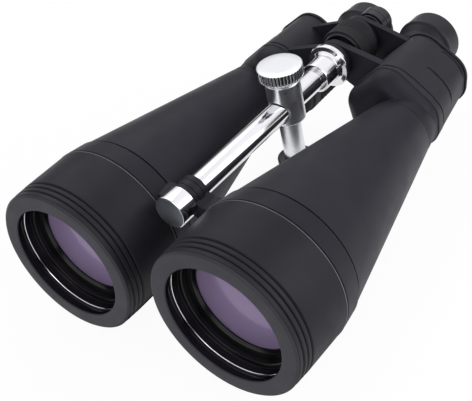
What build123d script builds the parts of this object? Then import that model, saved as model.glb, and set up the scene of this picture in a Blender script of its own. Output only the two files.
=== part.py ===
from build123d import *
import math
import os

os.makedirs("parts", exist_ok=True)

# Giant centre-focus Porro binoculars on a balance rod with a sliding tripod post, in mm.
# Parts are drawn in the optical frame: Y runs along the tubes from the objective rims
# (Y = 0) back to the eyecups, X is across the pair with the left side at X > 0, Z is up,
# and the hinge axis is X = Z = 0. "put" then moves the origin to (0, post_y) in X and Y,
# hinge_height below the hinge axis. Paired pieces are drawn on the left; the right is mirrored.

# ---- layout: axes along Y, as (x, z) --------------------------------------------------
post_y = 168.0            # tripod post, behind the objective rims
hinge_height = 58.0       # hinge axis above the tripod socket's mouth
hinge = (0.0, 0.0)
objective = (64.0, -32.3)
eye = (28.0, -26.0)       # 56 mm between pupils
middle = (49.0, -11.0)    # folded light path between the two prisms
neck = (63.0, -29.3)      # rear end of the leaning barrel, above the objective axis

# ---- clearances -----------------------------------------------------------------------
fit = 0.02                # radial, fixed joints
run = 0.05                # radial, running joints
slip = 0.1                # radial, barrel joints
over = 1.0                # how far most cuts run past a face

# ---- objective end --------------------------------------------------------------------
rim_r = 53.6              # objective rim, 107 mm across
rim_open_r = 41.35
hood_r = 53.9
hood_len = 49.9
hood_bore = 45.2
hood_step_y = 27.0        # the hood's bore widens to fit the barrel's spigot
band_y0, band_y1 = 50.2, 65.2
spigot_r = 49.5
barrel_bore = 46.8
cone_r0, cone_y0 = 51.3, 65.6
cone_r1, cone_y1 = 23.9, 203.0
cone_bore_r1, cone_bore_y1 = 21.6, 201.0
neck_spigot_r, neck_bore_r = 20.6, 18.6
lens_r = 40.4
clear_r = 35.2            # retaining ring opening
crown_front_radius, crown_rear_radius = 180.0, 150.0
crown_y0, crown_y1 = 19.0, 31.6
flint_y1 = 34.4

# ---- prism housing --------------------------------------------------------------------
dome_y = 207.0
dome_fillet = 12.0
dome_inset = 0.7
armour_y0, armour_y1 = 222.0, 270.5
armour_t = 2.0
wall_t = 2.2
# The cross-section is a belt around five corner circles (x, z, radius):
# objective, outer shoulder, middle, inner upper and inner lower.
hull_front = (
    (64.0, -32.3, 20.0), (64.0, -26.5, 20.3), (48.0, -11.0, 18.6),
    (31.0, -21.5, 15.0), (31.0, -33.5, 13.0))
hull_rear = (
    (60.5, -28.0, 17.4), (62.8, -21.3, 16.0), (48.0, -11.0, 16.8),
    (28.0, -25.0, 14.8), (30.5, -32.5, 12.8))
hull_rear_y = 272.0
shelf_y0, shelf_y1 = 238.2, 240.6
prism_leg = 25.8          # half of a prism's long face, and its depth
prism_flat = 1.6          # flat ground on the apex edge
prism_half_w = 9.5
cover_t = 3.0
cover_back = armour_y1 + cover_t
screw_at = ((63.4, -39.1), (71.4, -15.7), (47.8, 0.3), (41.5, -38.9))   # x, z
screw_head_t = 1.5        # depth of the screw head's recess

# ---- rod and hinge --------------------------------------------------------------------
rod_r = 8.0
rod_y0, rod_y1 = 46.0, 213.0
cap_r, cap_y0, cap_y1 = 11.35, 41.0, 54.0
knuckle_r = 10.3
front_knuckle = (54.3, 58.3)    # left bridge
middle_knuckle = (58.7, 63.3)   # right bridge
back_knuckle = (63.7, 67.7)     # left bridge
socket_r, socket_y0, socket_y1 = 10.9, 203.0, 223.6
flange_r = 16.2
grub_r = 1.5
cap_grub_y, socket_grub_y = 50.0, 208.0
axle_r, axle_bore = 6.0, 4.0
# Front and rear hinge lugs: y0, y1, radius.
lugs = {
    "left": ((229.6, 234.8, 13.6), (263.8, 268.0, 15.0)),
    "right": ((224.2, 229.2, 13.6), (259.2, 263.4, 15.0)),
}

# ---- focusing -------------------------------------------------------------------------
wheel_y0, wheel_y1 = 235.6, 258.5
wheel_r, grip_r = 16.0, 17.6
spindle_r = 3.95
pin_r, pin_y = 1.5, 250.0
focus_travel = 4.0
hub_core_r = 7.0
left_arm = (277.9, 283.1)
right_arm = (283.5, 288.7)

# ---- eyepieces ------------------------------------------------------------------------
guide_in, guide_out, guide_y1 = 12.05, 13.6, 283.2
tube_r, tube_y0 = 12.0, 274.7
skirt_y0 = 277.7
skirt_in, skirt_out = 13.8, 15.3
cup_end = 320.0
diopter_flutes = 40

# ---- tripod post ----------------------------------------------------------------------
post_head_r, post_head_z0, post_head_z1 = 12.0, -10.1, 20.0
post_tube_r = 7.65
liner_in, liner_out, liner_half = 8.04, 8.80, 8.0
foot_r, foot_z0, foot_z1 = 13.0, -58.0, -42.0
foot_pocket = 5.6
insert_r, thread_r, thread_len = 4.5, 2.55, 9.5
knob_r, knob_z0, knob_z1 = 15.6, 20.6, 31.5
knob_bore = 2.97
knob_flutes = 40


# ---- helpers --------------------------------------------------------------------------
def put(name, *shapes):
    """Move finished shapes from the optical frame to the part's frame and write them."""
    place = Pos(0, -post_y, hinge_height)
    solids = []
    for shape in shapes:
        solids += (place * shape).solids()
    body = solids[0] if len(solids) == 1 else Compound(children=solids)
    body.label = name
    export_step(body, f"parts/{name}.step")


def outline(start, *steps):
    """Closed face from a start point and steps: (r, y) is a line, (rm, ym, r, y) an arc."""
    edges, here = [], start
    for step in steps:
        end = step[-2:]
        if len(step) == 4:
            edges.append(Edge.make_three_point_arc((*here, 0), (*step[:2], 0), (*end, 0)))
        else:
            edges.append(Edge.make_line((*here, 0), (*end, 0)))
        here = end
    edges.append(Edge.make_line((*here, 0), (*start, 0)))
    return Face(Wire(edges))


def turned(axis, start, *steps):
    """Solid of revolution about the line parallel to Y through axis (x, z)."""
    x, z = axis
    return Pos(x, 0, z) * revolve(outline(start, *steps), Axis.Y)


def tube(axis, y0, y1, r_out, r_in=0.0):
    return turned(axis, (r_in, y0), (r_out, y0), (r_out, y1), (r_in, y1))


def upright(start, *steps):
    """Solid of revolution about the tripod post's vertical axis; steps are (r, z)."""
    face = Rot(90, 0, 0) * outline(start, *steps)
    return Pos(0, post_y, 0) * revolve(face, Axis.Z)


def mirrored(shape):
    return mirror(shape, about=Plane.YZ)


def unit(x, z):
    length = math.hypot(x, z)
    return x / length, z / length


def circle_points(radius, count):
    angles = [2 * math.pi * i / count for i in range(count)]
    return [(radius * math.cos(a), radius * math.sin(a)) for a in angles]


def plate(points, y0, y1):
    """Prism of an (x, z) polygon between two Y planes."""
    face = Face(Wire.make_polygon([(x, y0, z) for x, z in points], close=True))
    return extrude(face, amount=y1 - y0, dir=(0, 1, 0))


def arm_plate(target, half_widths, y0, y1):
    """Plate from the hinge axis towards target; half_widths are (distance, half width)."""
    ux, uz = unit(*target)
    sides = [*half_widths, *[(u, -v) for u, v in reversed(half_widths)]]
    return plate([(u * ux - v * uz, u * uz + v * ux) for u, v in sides], y0, y1)


def sag(radius, r):
    return radius - math.sqrt(radius * radius - r * r)


def biconvex(axis, r, y0, y1, front_radius, rear_radius):
    """Lens of edge radius r between the face centres y0 and y1."""
    half = r / 2
    return turned(
        axis, (0, y0),
        (half, y0 + sag(front_radius, half), r, y0 + sag(front_radius, r)),
        (r, y1 - sag(rear_radius, r)),
        (half, y1 - sag(rear_radius, half), 0, y1))


# ---- housing cross-section ------------------------------------------------------------
def hull_face(y, inset, at=None):
    """Housing section for station y, shrunk by inset and drawn at Y = at (default y)."""
    at = y if at is None else at
    share = max(0.0, (y - armour_y0) / (hull_rear_y - armour_y0))
    circles = []
    for front, rear in zip(hull_front, hull_rear):
        x, z, radius = [p + (q - p) * share for p, q in zip(front, rear)]
        circles.append((x, z, radius - inset))
    following = circles[1:] + circles[:1]

    # Outward normals of the tangent lines from each circle to the next
    normals = []
    for (x0, z0, r0), (x1, z1, r1) in zip(circles, following):
        ux, uz = unit(x1 - x0, z1 - z0)
        tilt = (r0 - r1) / math.hypot(x1 - x0, z1 - z0)
        rise = math.sqrt(1 - tilt * tilt)
        normals.append((ux * tilt + uz * rise, uz * tilt - ux * rise))

    def on_circle(circle, normal):
        x, z, radius = circle
        return (x + radius * normal[0], at, z + radius * normal[1])

    edges = []
    for i, circle in enumerate(circles):
        before, after = normals[i - 1], normals[i]
        between = unit(before[0] + after[0], before[1] + after[1])
        arc_end = on_circle(circle, after)
        edges.append(Edge.make_three_point_arc(
            on_circle(circle, before), on_circle(circle, between), arc_end))
        edges.append(Edge.make_line(arc_end, on_circle(following[i], after)))
    return Face(Wire(edges))


def hull_loft(y0, y1, inset):
    wires = [hull_face(y, inset).outer_wire() for y in (y0, y1)]
    return Solid.make_loft(wires, ruled=True)


def hull_block(y0, y1, inset):
    return extrude(hull_face(armour_y0, inset, at=y0), amount=y1 - y0, dir=(0, 1, 0))


def hull_room(rear_over, gap):
    """Space inside the housing's walls, less a gap all round."""
    inset = armour_t + wall_t + gap
    return hull_loft(armour_y0, armour_y1 + rear_over, inset) + hull_block(
        dome_y + 4.0 + gap, armour_y0, inset + 2.8)


# ---- prisms and straps ----------------------------------------------------------------
def slab(a, b, crosswise, half, profile, y_face, depth_dir):
    """Thick profile (offset, depth) centred between the beam axes a and b.

    Offsets run from a to b, or square to that line if crosswise; the slab reaches
    half its thickness either side. Depths run from y_face towards depth_dir in Y.
    """
    cx, cz = (a[0] + b[0]) / 2, (a[1] + b[1]) / 2
    ux, uz = unit(b[0] - a[0], b[1] - a[1])
    (px, pz), (nx, nz) = (ux, uz), (-uz, ux)
    if crosswise:
        (px, pz), (nx, nz) = (nx, nz), (px, pz)
    points = [(cx + s * px - half * nx, y_face + depth_dir * depth, cz + s * pz - half * nz)
              for s, depth in profile]
    face = Face(Wire.make_polygon(points, close=True))
    return extrude(face, amount=2 * half, dir=(nx, 0, nz))


def prism(*place):
    """Right-angle prism with its long face on the shelf, trimmed to the housing."""
    top = prism_leg - prism_flat
    profile = ((-prism_leg, 0), (prism_leg, 0), (prism_flat, top), (-prism_flat, top))
    block = slab(*place[:2], False, prism_half_w, profile, *place[2:])
    return block & hull_room(3, 0.3)


def strap(*place):
    """Strap that hooks over a prism's apex and stands on the shelf on two feet."""
    t, foot = 0.6, 2.3
    w, high = prism_half_w + 0.05, prism_leg - prism_flat + 0.05
    profile = (
        (-w - foot, 0), (-w, 0), (-w, high), (w, high), (w, 0), (w + foot, 0),
        (w + foot, t), (w + t, t), (w + t, high + t),
        (-w - t, high + t), (-w - t, t), (-w - foot, t))
    return slab(*place[:2], True, 1.5, profile, *place[2:])


# Beam axes, shelf face and depth direction of each prism
rear_place = (objective, middle, shelf_y1, 1)
front_place = (middle, eye, shelf_y0, -1)


# ---- housing, armour and cover --------------------------------------------------------
def web(y0, y1, r):
    """Hinge lug: a ring about the axle and a flat web into the side of the housing."""
    arm = plate(((0.31 * r, 0.95 * r), (39.0, 3.4), (46.0, -8.0), (32.0, -26.0),
                 (14.0, -20.0), (0.25 * r, -0.965 * r)), y0, y1)
    return tube(hinge, y0, y1, r) + arm


def housing(side_lugs):
    dome = hull_block(dome_y, armour_y0, dome_inset)
    front_edges = [e for e in dome.edges() if abs(e.center().Y - dome_y) < 1e-3]
    dome = fillet(front_edges, dome_fillet)
    collar = turned(neck, (0, 203.2), (23.8, 203.2), (22.6, 210.0), (20.0, armour_y0),
                    (0, armour_y0))
    shell = dome + collar + hull_loft(armour_y0, armour_y1, armour_t)
    shell = shell - hull_room(1, 0.0)
    # shelf between the two prisms, with openings for the folded beam
    shelf = hull_loft(shelf_y0, shelf_y1, armour_t + 1.0)
    for axis, opening_r in ((objective, 12.5), (middle, 10.0), (eye, 10.0)):
        shelf = shelf - tube(axis, shelf_y0 - over, shelf_y1 + over, opening_r)
    shell = shell + shelf
    # screw bosses for the rear cover
    for axis in screw_at:
        shell = shell + tube(axis, 256.0, armour_y1, 2.9)
    # the webs end inside the wall, so the light path and the prisms' space stay open
    core = hull_loft(armour_y0, armour_y1, armour_t + wall_t / 2)
    for lug in side_lugs:
        shell = shell + (web(*lug) - core)
    for axis in screw_at:
        shell = shell - tube(axis, 259.0, armour_y1 + over, 1.25)
    # seat and bore for the barrel's neck, then the axle hole
    shell = shell - tube(neck, 203.0, 210.6, neck_spigot_r + slip)
    shell = shell - tube(neck, 210.0, 213.0, neck_bore_r - 0.2)
    return shell - tube(hinge, 200, 280, axle_r + run)


def groove(y, width, depth, x, z, size_x, size_z):
    """Groove around the armour, kept only inside a box centred on (x, y, z)."""
    band = hull_loft(y, y + width, -1.0) - hull_loft(y - 0.01, y + width + 0.01, depth)
    return band & (Pos(x, y, z) * Box(size_x, 10, size_z))


def armour(side_lugs):
    """Sleeve over the housing with ribs underneath and two lines on the outer shoulder."""
    skin = hull_loft(armour_y0, armour_y1, 0.0)
    skin = skin - hull_loft(armour_y0 - 0.001, armour_y1 + 0.001, armour_t)
    for i in range(10):
        skin = skin - groove(armour_y0 + 8.4 + 4.0 * i, 2.0, 1.1, 25, -50.0, 70, 36)
    for y in (246.0, 264.0):
        skin = skin - groove(y, 1.0, 0.7, 82, -10.0, 40, 26)
    for lug in side_lugs:
        skin = skin - web(*lug)
    return skin


def rear_cover():
    """Lid on the back of the housing, with the eyepiece's guide tube."""
    block = extrude(hull_face(armour_y1, -1.0), amount=cover_t, dir=(0, 1, 0))
    back = [e for e in block.edges() if abs(e.center().Y - armour_y1 - cover_t) < 1e-3]
    block = fillet(back, 1.4)
    block = block + tube(eye, armour_y1, guide_y1, guide_out)
    block = block - tube(eye, armour_y1 - over, guide_y1 + over, guide_in)
    for axis in screw_at:
        block = block - tube(axis, armour_y1 - over, cover_back + over, 1.5)
        block = block - tube(axis, cover_back - screw_head_t, cover_back + over, 2.55)
    return block


def cover_screw(axis):
    """Cross-slotted screw."""
    y, head_y = cover_back, cover_back - screw_head_t
    screw = turned(axis, (0, 260.0), (1.2, 260.0), (1.2, head_y), (2.5, head_y),
                   (2.5, y - 0.6), (2.1, y - 0.2), (0, y - 0.2))
    place = Pos(axis[0], y, axis[1])
    return screw - place * Box(3.2, 1.2, 0.6) - place * Box(0.6, 1.2, 3.2)


# ---- objective end --------------------------------------------------------------------
def leaning_cone(y0, r0, y1, r1):
    """Cone from the objective axis at y0 to the neck's axis at y1."""
    wires = []
    for (x, z), y, r in ((objective, y0, r0), (neck, y1, r1)):
        plane = Plane(origin=(x, y, z), x_dir=(1, 0, 0), z_dir=(0, 1, 0))
        wires.append(Wire.make_circle(r, plane))
    return Solid.make_loft(wires, ruled=True)


def barrel():
    body = tube(objective, 30.2, cone_y0 + 1.0, spigot_r)
    body = body + leaning_cone(cone_y0, cone_r0, cone_y1, cone_r1)
    body = body + tube(neck, cone_y1 - 1.0, 210.5, neck_spigot_r)
    # hollow it with bores that overlap by 0.001
    body = body - tube(objective, 30.0, 70.0, barrel_bore)
    body = body - leaning_cone(69.999, barrel_bore, cone_bore_y1, cone_bore_r1)
    y = cone_bore_y1 - 0.001
    return body - turned(neck, (0, y), (cone_bore_r1, y), (neck_bore_r, 204.0),
                         (neck_bore_r, 211.0), (0, 211.0))


def hood():
    spigot_bore = spigot_r + slip
    return turned(
        objective, (41.9, 0), (51.7, 0), (53.0, 0.6, 53.3, 1.9), (53.3, 4.4),
        (rim_r, 4.7), (rim_r, 6.9), (52.8, 7.5), (52.8, 8.2), (53.7, 8.8), (53.7, 11.3),
        (52.9, 11.9), (52.9, 12.6), (hood_r, 13.3), (hood_r, hood_len - 0.6),
        (hood_r - 0.5, hood_len), (spigot_bore, hood_len), (spigot_bore, hood_step_y),
        (hood_bore, hood_step_y), (hood_bore, 3.2), (rim_open_r, 3.2), (rim_open_r, 0.5))


def front_bridge(left):
    """Band around the barrel with an arm to its knuckles on the rod."""
    bore = spigot_r + slip
    ring = turned(
        objective, (bore, band_y0), (53.4, band_y0), (hood_r, band_y0 + 0.5),
        (52.1, band_y1 - 0.5), (51.7, band_y1), (bore, band_y1))
    y0, y1 = front_knuckle[0], back_knuckle[1]
    arm = arm_plate(objective, ((0, 5.6), (14, 5.6), (26, 12)), y0, y1)
    arm = arm - tube(objective, 40, 66, bore) - tube(objective, band_y1, 80, cone_r0 + 0.5)
    gap_r = knuckle_r + 0.5
    if left:
        hub = tube(hinge, *front_knuckle, knuckle_r) + tube(hinge, *back_knuckle, knuckle_r)
        arm = arm - tube(hinge, front_knuckle[1], back_knuckle[0], gap_r)
    else:
        hub = tube(hinge, *middle_knuckle, knuckle_r)
        arm = arm - tube(hinge, y0 - over, middle_knuckle[0], gap_r)
        arm = arm - tube(hinge, middle_knuckle[1], y1 + over, gap_r)
    return ring + arm + hub - tube(hinge, 40, 80, rod_r + run)


def lens_cell():
    seat_r, outer_r = lens_r + 0.1, hood_bore - 0.1
    return turned(
        objective, (43.6, 8.5), (outer_r, 8.5), (outer_r, 27.05), (49.45, 27.05),
        (49.45, 30.15), (46.7, 30.15), (46.7, 38.0), (37.5, 38.0), (37.5, 34.5),
        (seat_r, 34.5), (seat_r, 14.8), (43.2, 13.8), (43.2, 8.9))


def retaining_ring():
    seat = crown_y0 + sag(crown_front_radius, clear_r) - 0.05
    front = seat - 3.0
    ring = turned(objective, (clear_r, seat), (clear_r, seat - 1.2),
                  (clear_r + 1.2, front), (lens_r, front), (lens_r, seat))
    x, z = objective
    for side in (-1, 1):
        ring = ring - Pos(x + side * 38.9, front, z) * Box(1.6, 2.4, 2.4)
    return ring


def crown_lens():
    return biconvex(objective, lens_r, crown_y0, crown_y1,
                    crown_front_radius, crown_rear_radius)


def flint_lens():
    """Hollow front face that follows the crown lens, flat rear face."""
    y, half = crown_y1 + 0.1, lens_r / 2
    return turned(
        objective, (0, y),
        (half, y - sag(crown_rear_radius, half), lens_r, y - sag(crown_rear_radius, lens_r)),
        (lens_r, flint_y1), (0, flint_y1))


# ---- rod, rear socket and hinge axle --------------------------------------------------
def rod():
    edge_r = rod_r - 0.4
    return turned(hinge, (0, rod_y0), (edge_r, rod_y0), (rod_r, rod_y0 + 0.4),
                  (rod_r, rod_y1 - 0.4), (edge_r, rod_y1), (0, rod_y1))


def rod_front_cap():
    bore, floor = rod_r + fit, rod_y0 - 0.1
    cap = turned(hinge, (0, cap_y0), (cap_r - 0.7, cap_y0), (cap_r, cap_y0 + 0.7),
                 (cap_r, cap_y1 - 0.3), (cap_r - 0.3, cap_y1), (bore, cap_y1),
                 (bore, floor), (0, floor))
    return cap - Pos(0, cap_grub_y, -10) * Cylinder(grub_r + fit, 8)


def rod_rear_socket():
    rod_bore, axle_hole, floor = rod_r + fit, axle_r + fit, rod_y1 + 0.1
    socket = turned(
        hinge, (rod_bore, socket_y0), (socket_r - 0.6, socket_y0),
        (socket_r, socket_y0 + 0.6), (socket_r, 218.0),
        (socket_r + 0.3, 219.0, socket_r + 1.3, 219.4), (flange_r - 1.0, 219.7),
        (flange_r, 220.6), (flange_r, 222.9), (flange_r - 0.8, socket_y1),
        (axle_hole, socket_y1), (axle_hole, floor), (rod_bore, floor))
    return socket - Pos(0, socket_grub_y, -9.5) * Cylinder(grub_r + fit, 8)


def grub_screw(y, collar_r, recess_z, recess_len):
    """Upright screw under the rod, in the wall of a collar, with a round recess."""
    screw = Cylinder(grub_r, collar_r - rod_r - 0.4)
    screw = screw - Pos(0, 0, recess_z) * Cylinder(0.7, recess_len)
    return Pos(0, y, (-rod_r - 0.05 - collar_r) / 2 + 0.1) * screw


def hinge_axle():
    """Hollow axle, slotted for the spindle pin's travel."""
    axle = tube(hinge, rod_y1 + 0.2, 272.1, axle_r, axle_bore)
    return axle - Pos(0, pin_y, 0) * Box(20, 2 * (focus_travel + 2.2), 3.3)


def axle_nut():
    nut = tube(hinge, 268.65, 272.0, 9.0, axle_r + fit)
    for side in (-1, 1):
        nut = nut - Pos(side * 8.6, 272.0, 0) * Box(2.4, 3.0, 2.2)
    return nut


# ---- focus wheel, spindle and ocular bridge -------------------------------------------
def focus_wheel():
    bore = axle_r + run
    wheel = turned(
        hinge, (bore, wheel_y0), (8.6, wheel_y0), (9.0, wheel_y0 + 0.4), (9.0, 242.2),
        (13.6, 242.2), (14.2, 239.2), (14.8, 238.6), (15.6, 238.6), (wheel_r, 239.0),
        (wheel_r, wheel_y1), (bore, wheel_y1))
    return wheel - tube(hinge, pin_y - 5.9, pin_y + 6.4, 9.4, 3.0)


def focus_grip():
    bore, edge_r = wheel_r + 0.01, grip_r - 0.8
    return turned(hinge, (bore, 239.6), (edge_r, 239.6), (grip_r, 240.4), (grip_r, 257.8),
                  (edge_r, wheel_y1), (bore, wheel_y1))


def cross_pin(radius, length):
    return Pos(0, pin_y, 0) * Rot(0, 90, 0) * Cylinder(radius, length)


def bridge_hub():
    bore = spindle_r + fit
    return turned(hinge, (bore, 276.3), (9.6, 276.3), (10.2, 276.9), (10.2, 277.7),
                  (hub_core_r, 277.7), (hub_core_r, 288.9), (bore, 288.9))


def bridge_cap():
    bore = spindle_r + fit
    cap = turned(hinge, (bore, 288.95), (10.4, 288.95), (10.4, 290.6),
                 (9.9, 291.9, 8.6, 292.4), (0, 292.4), (0, 291.1), (bore, 291.1))
    return cap - Pos(0, 292.4, 0) * Box(9.0, 1.6, 1.4)


def bridge_arm(y0, y1):
    """Ocular bridge: a ring on the hub, a flat arm and a clamp ring on the eyepiece."""
    arm = arm_plate(eye, ((0, 8.5), (24, 6.5), (math.hypot(*eye), 11)), y0, y1)
    arm = arm + tube(hinge, y0, y1, 11.6) + tube(eye, y0, y1, skirt_out + 1.9)
    arm = arm - tube(hinge, y0 - 1, y1 + 2, hub_core_r + run)
    return arm - tube(eye, y0 - 1, y1 + 2, skirt_out + fit)


# ---- eyepieces (all drawn on the left) ------------------------------------------------
eye_seat = ((14.6, 306.0), (12.2, 306.0), (12.2, 299.0))   # r, y around the eye lens
cup_back = (                                               # r, y of the eyecups' rear
    (21.6, 303.2), (21.9, 304.6), (21.5, 305.8), (21.1, 312.0), (20.9, 318.2),
    (20.4, 319.6, 19.4, cup_end), (18.9, 319.2, 18.6, 317.8), (18.4, 310.0),
    (16.4, 307.6), (12.6, 307.2), (12.6, 306.05))


def skirted_tube(bore, floor_y, *rear):
    """Inner tube, and an outer skirt hung forward from the web at floor_y."""
    return turned(
        eye, (bore, tube_y0), (tube_r, tube_y0), (tube_r, floor_y), (skirt_in, floor_y),
        (skirt_in, skirt_y0), (skirt_out - 0.4, skirt_y0), (skirt_out, skirt_y0 + 0.4),
        *rear)


def left_eyepiece_tube():
    return skirted_tube(10.6, 288.0, (skirt_out, 291.0), (14.6, 291.0), *eye_seat,
                        (10.0, 299.0), (10.0, 284.5), (10.6, 284.5))


def right_eyepiece_tube():
    return skirted_tube(10.55, 287.4, (skirt_out, 289.0), (skirt_out - 0.6, 290.0),
                        (10.55, 290.0))


def right_ocular_cell():
    return turned(eye, (9.2, 276.8), (10.5, 276.8), (10.5, 292.5), (13.6, 292.5),
                  (13.6, 298.2), (14.6, 298.2), *eye_seat, (8.8, 299.0), (8.8, 285.0),
                  (9.2, 285.0))


def eye_lens():
    return biconvex(eye, 12.17, 299.1, 305.8, 48.0, 48.0)


def diopter_ring():
    ring = turned(eye, (13.65, 292.7), (16.6, 292.7), (17.1, 293.2), (17.1, 297.6),
                  (16.6, 298.1), (13.65, 298.1))
    for x, z in circle_points(17.4, diopter_flutes):
        flute = Rot(90, 0, 0) * Cylinder(0.55, 3.6)
        ring = ring - Pos(eye[0] + x, 295.4, eye[1] + z) * flute
    return ring


def eyecup(bore, *front):
    return turned(eye, *front, (20.0, 301.6), *cup_back, (bore, 306.05))


# ---- tripod post, liner and clamp -----------------------------------------------------
def post_body():
    bottom = foot_z1 - foot_pocket + 0.1
    post = upright(
        (0, bottom), (post_tube_r, bottom), (post_tube_r, post_head_z0),
        (post_head_r - 0.8, post_head_z0), (post_head_r, post_head_z0 + 0.8),
        (post_head_r, post_head_z1 - 0.5), (post_head_r - 0.5, post_head_z1),
        (0, post_head_z1))
    post = post - tube(hinge, post_y - 20, post_y + 20, liner_out + run)
    return post - Pos(0, post_y, 15) * Cylinder(3.0, 16)


def post_foot():
    bore, floor = post_tube_r + 0.01, foot_z1 - foot_pocket
    return upright(
        (insert_r, foot_z0), (foot_r - 1.0, foot_z0), (foot_r, foot_z0 + 1.0),
        (foot_r, foot_z1 - 1.6), (foot_r - 0.5, foot_z1 - 0.5, foot_r - 1.6, foot_z1),
        (bore, foot_z1), (bore, floor), (insert_r, floor))


def socket_insert():
    top = foot_z0 + thread_len
    return upright((thread_r, foot_z0), (insert_r, foot_z0), (insert_r, top), (thread_r, top))


def clamp_pad():
    bottom = liner_out + 0.12
    return upright((0, bottom), (2.9, bottom), (2.9, 11.6), (0, 11.6))


def lock_stud():
    return upright((0, 11.7), (2.6, 11.7), (2.95, 12.1), (2.95, 27.0), (0, 27.0))


def lock_knob():
    knob = upright(
        (knob_bore, knob_z0), (11.6, knob_z0), (12.6, knob_z0 + 0.7),
        (knob_r - 0.5, knob_z0 + 3.0), (knob_r, knob_z0 + 3.6), (knob_r, knob_z1 - 0.5),
        (knob_r - 0.6, knob_z1), (0, knob_z1), (0, 27.1), (knob_bore, 27.1))
    flute_z = (knob_z0 + 3.4 + knob_z1) / 2
    flute_len = knob_z1 - knob_z0 - 4.6
    for x, y in circle_points(knob_r + 0.25, knob_flutes):
        knob = knob - Pos(x, post_y + y, flute_z) * Cylinder(0.75, flute_len)
    return knob


# ---- write the parts ------------------------------------------------------------------
for side, side_lugs in lugs.items():
    left = side == "left"
    pieces = {
        "prism_housing": [housing(side_lugs)],
        "armour": [armour(side_lugs)],
        "rear_cover": [rear_cover()],
        "cover_screws": [cover_screw(axis) for axis in screw_at],
        "barrel": [barrel()],
        "objective_hood": [hood()],
        "front_bridge": [front_bridge(left)],
        "lens_cell": [lens_cell()],
        "retaining_ring": [retaining_ring()],
        "crown_lens": [crown_lens()],
        "flint_lens": [flint_lens()],
        "front_prism": [prism(*front_place)],
        "rear_prism": [prism(*rear_place)],
        "prism_straps": [strap(*rear_place), strap(*front_place)],
        "bridge_arm": [bridge_arm(*(left_arm if left else right_arm))],
        "eye_lens": [eye_lens()],
    }
    for name, shapes in pieces.items():
        put(f"{side}_{name}", *[s if left else mirrored(s) for s in shapes])

put("rod", rod())
put("rod_front_cap", rod_front_cap())
put("rod_rear_socket", rod_rear_socket())
put("grub_screws", grub_screw(cap_grub_y, cap_r, -1.5, 2.0),
    grub_screw(socket_grub_y, socket_r, -1.0, 1.4))
put("hinge_axle", hinge_axle())
put("hinge_washers", tube(hinge, socket_y1 + 0.05, 224.1, 12.0, axle_r + run),
    tube(hinge, 268.1, 268.55, 9.5, axle_r + run))
put("axle_nut", axle_nut())

put("focus_wheel", focus_wheel())
put("focus_grip", focus_grip())
put("focus_spindle", tube(hinge, 243.4, 291.0, spindle_r) - cross_pin(pin_r + fit, 20))
put("spindle_pin", cross_pin(pin_r, 17.6))
put("bridge_hub", bridge_hub())
put("bridge_cap", bridge_cap())

put("left_eyepiece_tube", left_eyepiece_tube())
put("left_field_lens", biconvex(eye, 10.57, 276.0, 283.0, 38.0, 38.0))
put("left_eyecup", eyecup(14.62, (14.62, 291.3), (15.6, 291.3), (16.2, 292.4), (17.4, 297.0)))
put("right_eyepiece_tube", mirrored(right_eyepiece_tube()))
put("right_ocular_cell", mirrored(right_ocular_cell()))
put("right_field_lens", mirrored(biconvex(eye, 9.17, 277.6, 284.1, 34.0, 34.0)))
put("diopter_ring", mirrored(diopter_ring()))
put("right_eyecup", mirrored(eyecup(14.65, (14.65, 298.25), (17.6, 298.25), (18.4, 299.4))))

put("post_body", post_body())
put("post_foot", post_foot())
put("socket_insert", socket_insert())
put("rod_liner", tube(hinge, post_y - liner_half, post_y + liner_half, liner_out, liner_in))
put("clamp_pad", clamp_pad())
put("lock_stud", lock_stud())
put("lock_knob", lock_knob())
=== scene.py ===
"""Binoculars on a tripod rod and post: looks, studio and camera.

Shapes are in millimetres in the optical frame: Y runs back from the objective rims, Z is up, the
left half lies at +X and the hinge axis is X = Z = 0. place() turns them into the row frame. The
studio and the sizes inside materials are in metres.
"""
import bpy, bmesh, math
from mathutils import Matrix, Vector

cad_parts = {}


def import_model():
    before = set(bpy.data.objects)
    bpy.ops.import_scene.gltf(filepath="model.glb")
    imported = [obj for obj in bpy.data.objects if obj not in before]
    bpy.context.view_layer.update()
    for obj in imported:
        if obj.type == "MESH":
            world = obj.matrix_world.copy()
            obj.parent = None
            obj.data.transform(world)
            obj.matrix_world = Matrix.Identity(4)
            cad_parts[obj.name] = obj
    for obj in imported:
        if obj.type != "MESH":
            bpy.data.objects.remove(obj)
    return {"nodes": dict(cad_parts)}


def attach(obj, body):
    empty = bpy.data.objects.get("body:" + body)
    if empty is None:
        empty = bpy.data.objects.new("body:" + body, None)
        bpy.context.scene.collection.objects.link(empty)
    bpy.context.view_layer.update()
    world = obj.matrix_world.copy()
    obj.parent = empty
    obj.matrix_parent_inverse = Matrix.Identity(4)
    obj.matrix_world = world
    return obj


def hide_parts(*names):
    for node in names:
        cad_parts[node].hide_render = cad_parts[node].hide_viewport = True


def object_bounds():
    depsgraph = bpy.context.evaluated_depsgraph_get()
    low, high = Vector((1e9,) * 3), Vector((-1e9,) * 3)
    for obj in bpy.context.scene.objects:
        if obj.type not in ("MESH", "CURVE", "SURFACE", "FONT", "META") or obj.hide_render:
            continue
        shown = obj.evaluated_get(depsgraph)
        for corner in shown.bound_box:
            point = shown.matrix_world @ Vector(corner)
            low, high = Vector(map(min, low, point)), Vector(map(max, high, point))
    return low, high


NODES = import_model()["nodes"]
cad_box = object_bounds()
SC = bpy.context.scene

MM = 0.001
POST_Y = 168.0            # the post's axis, behind the objective rims
HINGE_Z = 58.0            # height of the hinge axis above the post's foot
OBJECTIVE = (64.0, -32.3) # x, z of the left objective axis
EYEPIECE = (28.0, -26.0)  # x, z of the left eyepiece axis
SIDES = (("left", 1.0), ("right", -1.0))


def place(x, y, z):
    return Vector((x * MM, (y - POST_Y) * MM, (z + HINGE_Z) * MM))


def clamp(value):
    return max(0.0, min(1.0, value))


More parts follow.
